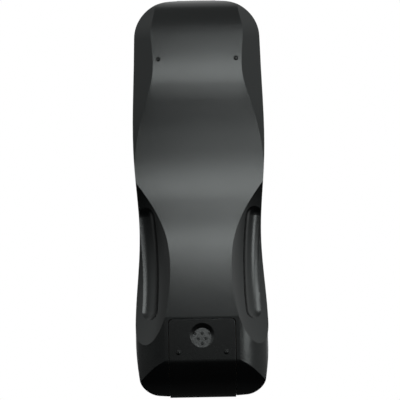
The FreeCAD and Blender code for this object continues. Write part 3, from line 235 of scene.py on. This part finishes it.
def sloped(tree, height, depth, **over):
    return chained(tree, "ShaderNodeBump", {"Height": height, "Distance": depth, **over}).outputs[0]


def give_surface(tree, inputs):
    shader = chained(tree, "ShaderNodeBsdfPrincipled", inputs).outputs[0]
    chained(tree, "ShaderNodeOutputMaterial", {"Surface": shader})


def moulded_plastic(name, colour, roughness, grain_depth, edge=EDGE_ROUNDING):
    material, tree, spot = new_finish(name)
    grain = noise(tree, spot, GRAIN_PER_METRE, detail=2.0)
    drift = noise(tree, spot, DRIFT_PER_METRE, detail=2.0)
    rounded = chained(tree, "ShaderNodeBevel", {"Radius": edge}, samples=4).outputs[0]
    give_surface(tree, {
        "Base Color": drifting_colour(tree, drift, colour, darkest=0.85, palest=1.15),
        "Roughness": drifting_level(tree, drift, roughness, spread=0.02),
        "Normal": sloped(tree, grain, grain_depth, Normal=rounded),
        "Specular Tint": SHELL_TINT})
    return material


def finish_node(name, material):
    shape = nodes[name].data
    shape.materials.clear()
    shape.materials.append(material)


finish_node("back_housing", moulded_plastic(
    "black_back_shell", SHELL_COLOUR, roughness=0.26, grain_depth=SHELL_GRAIN_DEPTH))


# The battery door: the same black plastic out of a mould of its own, a little duller, with softer
# edges. It slides in tracks towards the bottom end.
DOOR_COLOUR = (0.0021, 0.0023, 0.0023)
finish_node("battery_door", moulded_plastic(
    "black_door", DOOR_COLOUR, roughness=0.27, grain_depth=SHELL_GRAIN_DEPTH, edge=0.0003))


# The front shell: a tray of the same black plastic, snapped onto the back shell, with a slightly
# coarser and duller grain round the keys.
FRONT_COLOUR = (0.0060, 0.0065, 0.0068)
finish_node("front_housing", moulded_plastic(
    "black_front_shell", FRONT_COLOUR, roughness=0.38, grain_depth=0.00004))


# The infrared window and the diode behind it: a smoked pane that lets infrared light through,
# held between the shells, and a clear resin body. Both have faint flow lines from the mould.
FLOW_PER_METRE = 180.0


def clear_plastic(name, colour, roughness, through, ripple):
    material, tree, spot = new_finish(name)
    flow = noise(tree, spot, FLOW_PER_METRE, detail=1.0)
    give_surface(tree, {
        "Base Color": drifting_colour(tree, flow, colour, darkest=0.9, palest=1.1),
        "Roughness": roughness,
        "Transmission Weight": through,
        "Normal": sloped(tree, flow, ripple)})
    return material


finish_node("ir_window", clear_plastic(
    "smoked_pane", (0.055, 0.045, 0.05), roughness=0.12, through=0.25, ripple=0.00002))
finish_node("ir_led", clear_plastic(
    "clear_resin", (0.86, 0.9, 0.97), roughness=0.06, through=0.85, ripple=0.00001))


# The circuit board: brown paper laminate with short fibres in it and a satin coat, screwed to the
# front shell.
BOARD_COLOUR = (0.13, 0.08, 0.035)
FIBRES_PER_METRE = (900, 160, 900)
laminate, tree, spot = new_finish("paper_laminate")
stretched = chained(tree, "ShaderNodeMapping", {"Vector": spot, "Scale": FIBRES_PER_METRE})
fibre = noise(tree, stretched.outputs[0], per_metre=1.0, detail=4.0)
give_surface(tree, {
    "Base Color": drifting_colour(tree, fibre, BOARD_COLOUR, darkest=0.7, palest=1.3),
    "Roughness": 0.45,
    "Normal": sloped(tree, fibre, depth=0.00002)})
finish_node("circuit_board", laminate)


# Moulded bodies on and over the board: the silicone sheet with its domes, the black chips and the
# ceramic parts. Each has a fine matt grain and a slight drift of colour.
BODY_DRIFT_PER_METRE = 120.0


def soft_body(name, colour, roughness, grain_size, grain_depth):
    material, tree, spot = new_finish(name)
    grain = noise(tree, spot, 1 / grain_size, detail=3.0)
    drift = noise(tree, spot, BODY_DRIFT_PER_METRE, detail=1.0)
    give_surface(tree, {
        "Base Color": drifting_colour(tree, drift, colour, darkest=0.88, palest=1.12),
        "Roughness": drifting_level(tree, grain, roughness, spread=0.05),
        "Normal": sloped(tree, grain, grain_depth)})
    return material


finish_node("keypad_membrane", soft_body(
    "grey_silicone", (0.30, 0.31, 0.32), roughness=0.6, grain_size=0.0008, grain_depth=0.00002))
chip_resin = soft_body(
    "chip_resin", (0.018, 0.018, 0.019), roughness=0.5, grain_size=0.0003, grain_depth=0.00001)
for name in ("controller_chip", "led_driver_transistor", "chip_resistors"):
    finish_node(name, chip_resin)
finish_node("resonator", soft_body(
    "resonator_dip", (0.62, 0.28, 0.05), roughness=0.35, grain_size=0.001, grain_depth=0.00003))
finish_node("chip_capacitors", soft_body(
    "chip_ceramic", (0.46, 0.33, 0.2), roughness=0.5, grain_size=0.0003, grain_depth=0.00001))


# Bare metal: the screws are zinc plated steel, the capacitor's can is drawn aluminium, and the
# battery contacts are nickel plated spring steel with fine drawing lines.
LINES_ALONG = 120


def bare_metal(name, colour, roughness, line_size):
    material, tree, spot = new_finish(name)
    scale = (1 / line_size, 1 / line_size, LINES_ALONG)
    lines = chained(tree, "ShaderNodeMapping", {"Vector": spot, "Scale": scale})
    drawn = noise(tree, lines.outputs[0], per_metre=1.0, detail=2.0)
    give_surface(tree, {
        "Base Color": drifting_colour(tree, drawn, colour, darkest=0.92, palest=1.05),
        "Roughness": drifting_level(tree, drawn, roughness, spread=0.07),
        "Metallic": 1.0})
    return material


finish_node("board_screws", bare_metal(
    "zinc_plate", (0.58, 0.58, 0.56), roughness=0.35, line_size=0.0002))
finish_node("reservoir_capacitor", bare_metal(
    "drawn_can", (0.75, 0.75, 0.76), roughness=0.3, line_size=0.0003))
spring_steel = bare_metal("nickel_plate", (0.72, 0.69, 0.63), roughness=0.24, line_size=0.0002)
for name in ("contact_positive", "contact_negative", "contact_bridge"):
    finish_node(name, spring_steel)


# The two cells: steel cans in a plain film, dark with a coppery band at the positive end. The
# film stops short of the bare ends. One cell lies the other way round.
FILM_DARK = (0.035, 0.04, 0.05, 1)
FILM_COPPER = (0.42, 0.19, 0.08, 1)
BARE_STEEL = (0.62, 0.62, 0.61, 1)
FILM_METAL = (0.1, 0.1, 0.1, 1)
FILM_START = 0.018
FILM_END = 1 - FILM_START
COPPER_START = 0.74
CREASES_PER_METRE = 260.0


def stepped(tree, share, steps):
    """Plain bands along a share of 0 to 1: each step is a band's start and its colour."""
    ramp = chained(tree, "ShaderNodeValToRGB", {0: share})
    ramp.color_ramp.interpolation = "CONSTANT"
    bands = ramp.color_ramp.elements
    bands[0].position, bands[0].color = steps[0]
    bands[1].position, bands[1].color = steps[1]
    for start, colour in steps[2:]:
        bands.new(start).color = colour
    return ramp.outputs[0]


def cell_film(name, negative, positive):
    """The bands lie between the Y of the cell's negative end and that of its positive end."""
    material, tree, spot = new_finish(name)
    along = chained(tree, "ShaderNodeSeparateXYZ", {0: spot}).outputs["Y"]
    inputs = {"Value": along, "From Min": negative, "From Max": positive}
    share = chained(tree, "ShaderNodeMapRange", inputs).outputs[0]
    crease = noise(tree, spot, CREASES_PER_METRE, detail=2.0)
    give_surface(tree, {
        "Base Color": stepped(tree, share, [(0, BARE_STEEL), (FILM_START, FILM_DARK),
                                            (COPPER_START, FILM_COPPER), (FILM_END, BARE_STEEL)]),
        "Roughness": drifting_level(tree, crease, middle=0.27, spread=0.07),
        "Metallic": stepped(tree, share, [(0, WHITE), (FILM_START, FILM_METAL),
                                          (FILM_END, WHITE)])})
    return material


left_low, left_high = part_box("battery_left")
finish_node("battery_left", cell_film("left_cell_film", left_low.y, left_high.y))
right_low, right_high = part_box("battery_right")
finish_node("battery_right", cell_film("right_cell_film", right_high.y, right_low.y))


# The keys: soft grey rubber caps that stand out of the face through its openings, each on its own
# dome of the silicone sheet.
keys = [name for name in nodes if name.startswith("key_")]
key_rubber = soft_body(
    "key_rubber", (0.24, 0.25, 0.26), roughness=0.5, grain_size=0.0006, grain_depth=0.00003)
for name in keys:
    finish_node(name, key_rubber)


# The marks on the keys: digits and plain signs in pale rubber, moulded a little proud of each cap.
# Each is drawn flat over its key, in millimetres from the cap's middle, and then given thickness.
# After its place a bar has width, length and turn, an arrow size and turn, a ring radius and width.
MILLIMETRE = 0.001
MARK_SINK = 0.00006
MARK_HEIGHT = 0.00018
DIGIT_HEIGHT = 6.4
ROUND_SIDES = 28
UP = 0
LEFT = 90
DOWN = 180
RIGHT = -90
MARKS = {
    "key_power": [("ring", 0, -0.2, 2.1, 0.55), ("bar", 0, 1.3, 0.55, 2.6, 0)],
    "key_open_close": [("arrow", 0, 0.5, 2.1, UP), ("bar", 0, -1.9, 3.8, 0.6, 0)],
    "key_clear": [("bar", 0, 0, 0.65, 4.6, 45), ("bar", 0, 0, 0.65, 4.6, -45)],
    "key_enter": [("arrow", -2.0, -0.4, 1.5, LEFT), ("bar", 0.5, -0.4, 3.4, 0.6, 0),
                  ("bar", 2.2, 0.5, 0.6, 2.4, 0)],
    "key_title": [("bar", 0, along, 4.4, 0.6, 0) for along in (1.5, 0, -1.5)],
    "key_menu": [("bar", across, along, 1.6, 1.6, 0)
                 for along in (1.2, -1.2) for across in (-1.2, 1.2)],
    "key_ok": [("disc", 0, 0, 1.5), ("ring", 0, 0, 2.9, 0.5)],
    "key_up": [("arrow", 0, -0.2, 2.0, UP)],
    "key_down": [("arrow", 0, 0.2, 2.0, DOWN)],
    "key_left": [("arrow", 0.2, 0, 2.0, LEFT)],
    "key_right": [("arrow", -0.2, 0, 2.0, RIGHT)],
    "key_setup": [("ring", 0, 0, 1.5, 0.7), ("bar", 0, 0, 0.6, 4.9, 0),
                  ("bar", 0, 0, 0.6, 4.9, 60), ("bar", 0, 0, 0.6, 4.9, 120)],
    "key_return": [("arrow", -1.3, 0.9, 1.4, LEFT), ("bar", 0.5, 0.9, 2.6, 0.6, 0),
                   ("bar", 1.9, -0.3, 0.6, 3.0, 0), ("bar", 0.5, -1.5, 3.4, 0.6, 0)],
    "key_previous": [("bar", -2.9, 0, 0.6, 3.4, 0), ("arrow", -1.0, 0, 1.8, LEFT),
                     ("arrow", 1.7, 0, 1.8, LEFT)],
    "key_play": [("arrow", -0.3, 0, 2.3, RIGHT)],
    "key_next": [("arrow", -1.7, 0, 1.8, RIGHT), ("arrow", 1.0, 0, 1.8, RIGHT),
                 ("bar", 2.9, 0, 0.6, 3.4, 0)],
    "key_rewind": [("arrow", -1.2, 0, 1.8, LEFT), ("arrow", 1.5, 0, 1.8, LEFT)],
    "key_stop": [("bar", 0, 0, 3.2, 3.2, 0)],
    "key_forward": [("arrow", -1.5, 0, 1.8, RIGHT), ("arrow", 1.2, 0, 1.8, RIGHT)],
    "key_slow": [("bar", -1.8, 0, 0.6, 3.4, 0), ("arrow", 0.7, 0, 1.8, RIGHT)],
    "key_pause": [("bar", -1.0, 0, 0.9, 3.4, 0), ("bar", 1.0, 0, 0.9, 3.4, 0)],
    "key_step": [("arrow", -1.6, 0, 1.8, RIGHT), ("bar", 0.8, 0, 0.6, 3.4, 0),
                 ("bar", 2.0, 0, 0.6, 3.4, 0)],
    "key_subtitle": [("bar", 0, 1.6, 6.0, 0.5, 0), ("bar", 0, -1.6, 6.0, 0.5, 0),
                     ("bar", -2.75, 0, 0.5, 3.7, 0), ("bar", 2.75, 0, 0.5, 3.7, 0),
                     ("bar", -0.9, -0.6, 2.0, 0.5, 0), ("bar", 1.4, -0.6, 1.0, 0.5, 0)],
    "key_audio": [("bar", -1.6, 0, 1.2, 1.4, 0), ("arrow", -0.6, 0, 1.7, LEFT),
                  ("bar", 1.2, 0, 0.45, 1.4, 0), ("bar", 2.2, 0, 0.45, 2.6, 0)],
    "key_angle": [("bar", 0, -1.3, 4.6, 0.5, 0), ("bar", 0.15, 0.15, 4.9, 0.5, 36)],
    "key_zoom": [("ring", -0.5, 0.4, 1.4, 0.5), ("bar", 1.2, -1.3, 0.6, 2.4, 45)],
}


def laid_bar(place, width, length, turn):
    bpy.ops.mesh.primitive_plane_add(size=1, location=place, rotation=(0, 0, math.radians(turn)))
    bpy.context.object.scale = (width * MILLIMETRE, length * MILLIMETRE, 1)


def laid_arrow(place, size, turn):
    bpy.ops.mesh.primitive_circle_add(vertices=3, radius=size * MILLIMETRE, fill_type="NGON",
                                      location=place, rotation=(0, 0, math.radians(turn)))


def laid_disc(place, radius):
    bpy.ops.mesh.primitive_circle_add(vertices=ROUND_SIDES, radius=radius * MILLIMETRE,
                                      fill_type="NGON", location=place)


def laid_ring(place, radius, width):
    laid_disc(place, radius)
    bpy.ops.object.mode_set(mode="EDIT")
    bpy.ops.mesh.inset(thickness=width * MILLIMETRE)
    bpy.ops.mesh.delete(type="FACE")
    bpy.ops.object.mode_set(mode="OBJECT")


def laid_digit(place, digit):
    bpy.ops.object.text_add(location=place)
    text = bpy.context.object.data
    text.body = digit
    text.size = DIGIT_HEIGHT * MILLIMETRE
    text.align_x = "CENTER"
    text.align_y = "CENTER"
    bpy.ops.object.convert(target="MESH")


LAID = {"bar": laid_bar, "arrow": laid_arrow, "disc": laid_disc, "ring": laid_ring}
mark_rubber = soft_body(
    "mark_rubber", (0.86, 0.87, 0.86), roughness=0.5, grain_size=0.0004, grain_depth=0.00001)
for name in keys:
    low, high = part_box(name)
    middle = (low + high) / 2
    shapes = []
    bpy.ops.object.select_all(action="DESELECT")
    if name.startswith("key_digit_"):
        laid_digit((middle.x, middle.y, high.z - MARK_SINK), name[-1])
        shapes.append(bpy.context.object)
    for kind, across, along, *sizes in MARKS.get(name, []):
        place = (middle.x + across * MILLIMETRE, middle.y + along * MILLIMETRE, high.z - MARK_SINK)
        LAID[kind](place, *sizes)
        shapes.append(bpy.context.object)
    for shape in shapes:
        shape.select_set(True)
    bpy.ops.object.join()
    mark = bpy.context.object
    mark.name = "mark_" + name.removeprefix("key_")
    bpy.ops.object.transform_apply(location=True, rotation=True, scale=True)
    thick = mark.modifiers.new("thickness", "SOLIDIFY")
    thick.thickness = MARK_HEIGHT
    thick.offset = 1
    bpy.ops.object.modifier_apply(modifier=thick.name)
    mark.data.materials.clear()
    mark.data.materials.append(mark_rubber)
    mark.select_set(False)
    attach(mark, name)
